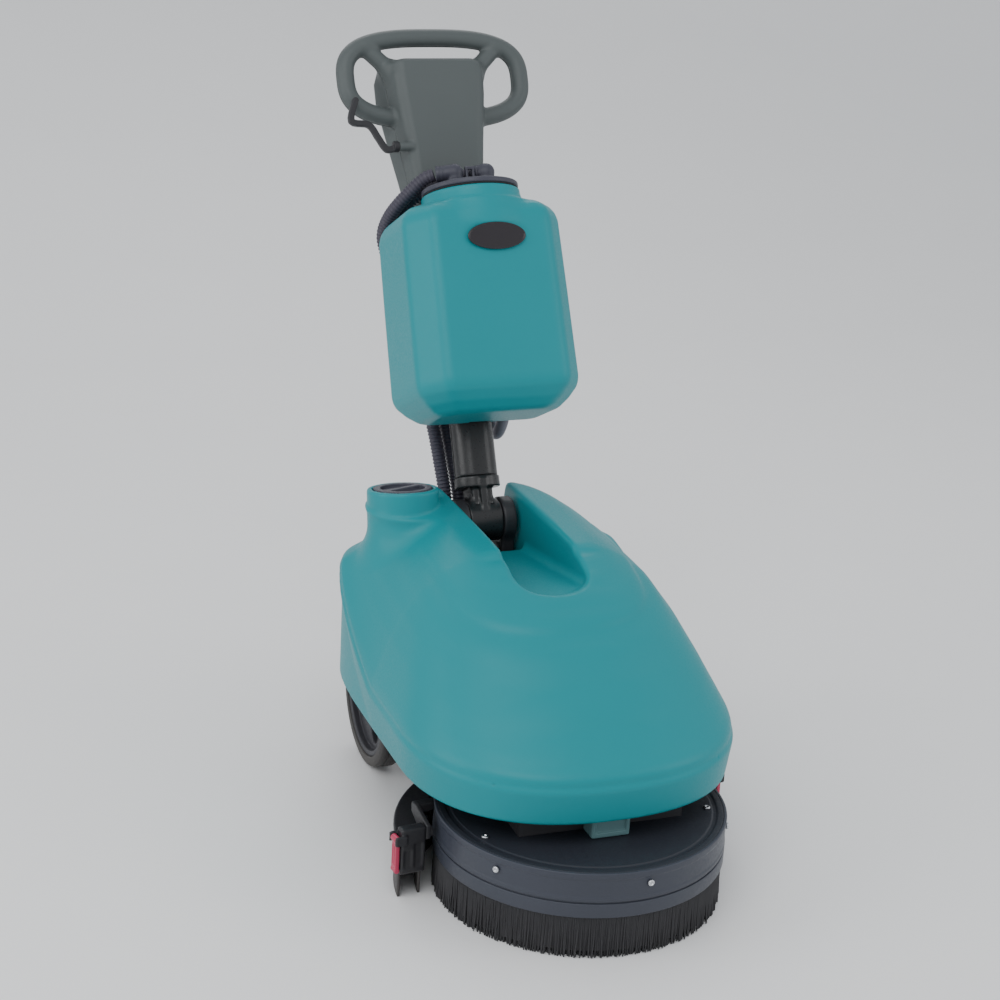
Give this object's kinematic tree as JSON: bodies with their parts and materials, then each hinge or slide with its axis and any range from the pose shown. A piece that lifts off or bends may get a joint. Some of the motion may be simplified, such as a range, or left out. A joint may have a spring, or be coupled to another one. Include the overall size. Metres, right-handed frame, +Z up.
{
  "type": "floor scrubber machine",
  "caption": "Walk-behind floor scrubber with a round brush deck, wrap-around squeegee, moulded water tank hood, wheels and a folding handle column carrying a lift-off waste tank.",
  "frame": {"origin": "on the floor, on the vertical axis of the round brush", "axes": "+Z up, -Y the travel direction, +Y towards the operator, +X to the machine's left when looking along its travel direction from behind"},
  "size_m": [0.4921, 0.9437, 1.0029],
  "materials": {
    "chassis_black": "semi-gloss powder coat",
    "zinc_steel": "zinc plated",
    "teal_plastic": "satin rotomoulded polyethylene",
    "deck_slate": "satin",
    "dark_plastic": "satin",
    "grey_green_plastic": "satin",
    "battery_plastic": "satin",
    "cast_motor": "cast",
    "clear_hose": "translucent",
    "bristle_black": "nylon strands",
    "bristle_blue": "nylon strands",
    "tyre_rubber": "moulded rubber",
    "hub_grey": "satin",
    "blade_rubber": "gum rubber",
    "squeegee_black": "satin",
    "strap_steel": "stainless strip",
    "latch_red": "moulded",
    "cap_grey": "satin",
    "handle_grey": "fine texture",
    "column_black": "satin powder coat",
    "panel_black": "fine texture",
    "button_green": "moulded",
    "button_blue": "moulded",
    "badge_dark": "printed label without lettering",
    "hose_purple_grey": "ribbed flexible hose",
    "drain_grey": "smooth flexible hose",
    "float_white": "moulded",
    "float_orange": "moulded",
    "gasket_rubber": "foam rubber"
  },
  "bodies": {
    "chassis": {"chassis_frame": "chassis_black", "wheel_axle": "zinc_steel", "solution_tank": "teal_plastic", "front_support_block": "grey_green_plastic", "rear_cover": "dark_plastic", "battery_pack": "battery_plastic", "motor_controller": "cast_motor", "brush_gearmotor": "cast_motor", "vacuum_housing": "dark_plastic", "water_valve": "dark_plastic", "solution_feed_hose": "clear_hose", "handle_yoke": "chassis_black", "pivot_pin": "zinc_steel", "deck_cover": "deck_slate", "deck_band": "deck_slate", "skirt_ring": "deck_slate", "skirt_bristles": "bristle_black", "deck_screws": "zinc_steel", "squeegee_brackets": "chassis_black", "charge_socket": "panel_black", "filler_strainer": "battery_plastic"},
    "right_wheel": {"right_tyre": "tyre_rubber", "right_rim": "dark_plastic", "right_hub_cap": "hub_grey"},
    "left_wheel": {"left_tyre": "tyre_rubber", "left_rim": "dark_plastic", "left_hub_cap": "hub_grey"},
    "brush": {"brush_drive_shaft": "zinc_steel", "brush_disc": "battery_plastic", "brush_bristles": "bristle_blue"},
    "impeller": {"vacuum_impeller": "cast_motor"},
    "squeegee": {"squeegee_body": "squeegee_black", "squeegee_front_blade": "blade_rubber", "squeegee_rear_blade": "blade_rubber", "squeegee_straps": "strap_steel", "suction_nozzle": "squeegee_black"},
    "right_toggle": {"right_latch": "latch_red"},
    "left_toggle": {"left_latch": "latch_red"},
    "cap": {"filler_cap": "cap_grey"},
    "handle": {"handle_column": "column_black", "column_knuckle": "column_black", "handle_shell_front": "handle_grey", "handle_shell_rear": "handle_grey", "control_panel": "panel_black", "tank_bracket": "column_black", "recovery_hose": "hose_purple_grey", "vacuum_hose": "hose_purple_grey"},
    "brush_switch": {"brush_button": "button_green"},
    "vacuum_switch": {"vacuum_button": "button_blue"},
    "key": {"key_switch": "zinc_steel"},
    "lever": {"release_lever": "panel_black"},
    "waste_tank": {"recovery_tank": "teal_plastic", "drain_hose": "drain_grey", "tank_badge": "badge_dark"},
    "lid": {"tank_lid": "cap_grey", "lid_gasket": "gasket_rubber", "suction_elbow": "cap_grey", "vacuum_elbow": "cap_grey", "float_cage": "float_white"},
    "float": {"float_ball": "float_orange"}
  },
  "joints": [
    {"name": "handle_fold", "type": "hinge", "parent": "chassis", "child": "handle", "pos_m": [0, 0.413, 0.357], "axis": [1, 0, 0], "range_deg": [-25, 45], "deforming": ["recovery_hose", "vacuum_hose"]},
    {"name": "tank_lift", "type": "slide", "parent": "handle", "child": "waste_tank", "axis": [0, 0.4431, 0.8965], "range_m": [0, 0.02]},
    {"name": "lid_lift", "type": "slide", "parent": "waste_tank", "child": "lid", "axis": [0, 0.4431, 0.8965], "range_m": [0, 0.024]},
    {"name": "float_rise", "type": "slide", "parent": "lid", "child": "float", "axis": [0, 0.4431, 0.8965], "range_m": [0, 0.02]},
    {"name": "right_wheel_spin", "type": "hinge", "parent": "chassis", "child": "right_wheel", "pos_m": [-0.15, 0.407, 0.1], "axis": [1, 0, 0], "continuous": true},
    {"name": "left_wheel_spin", "type": "hinge", "parent": "chassis", "child": "left_wheel", "pos_m": [0.15, 0.407, 0.1], "axis": [1, 0, 0], "continuous": true},
    {"name": "brush_spin", "type": "hinge", "parent": "chassis", "child": "brush", "pos_m": [0, 0, 0.06], "axis": [0, 0, 1], "continuous": true},
    {"name": "impeller_spin", "type": "hinge", "parent": "chassis", "child": "impeller", "pos_m": [0, 0.128, 0.17], "axis": [0, 0, 1], "continuous": true},
    {"name": "squeegee_lift", "type": "hinge", "parent": "chassis", "child": "squeegee", "pos_m": [-0.00554, 0.04516, 0.092], "axis": [0.9925, 0.1219, 0], "range_deg": [0, 6]},
    {"name": "right_latch_swing", "type": "hinge", "parent": "squeegee", "child": "right_toggle", "pos_m": [-0.24556, 0.01418, 0.091], "axis": [-0.1219, 0.9925, 0], "range_deg": [0, 80]},
    {"name": "left_latch_swing", "type": "hinge", "parent": "squeegee", "child": "left_toggle", "pos_m": [0.23483, 0.07316, 0.091], "axis": [0.1219, -0.9925, 0], "range_deg": [0, 80]},
    {"name": "cap_turn", "type": "hinge", "parent": "chassis", "child": "cap", "pos_m": [-0.127, 0.39, 0.423], "axis": [0, 0.1736, 0.9848], "range_deg": [0, 90]},
    {"name": "brush_switch_press", "type": "slide", "parent": "handle", "child": "brush_switch", "axis": [0, -0.8965, 0.4431], "range_m": [0, 0.002]},
    {"name": "vacuum_switch_press", "type": "slide", "parent": "handle", "child": "vacuum_switch", "axis": [0, -0.8965, 0.4431], "range_m": [0, 0.002]},
    {"name": "key_turn", "type": "hinge", "parent": "handle", "child": "key", "pos_m": [0, 0.72092, 0.88748], "axis": [0, -0.8965, 0.4431], "range_deg": [0, 90]},
    {"name": "lever_pull", "type": "hinge", "parent": "handle", "child": "lever", "pos_m": [-0.076, 0.6303, 0.85084], "axis": [-1, 0, 0], "range_deg": [0, 5]}
  ]
}
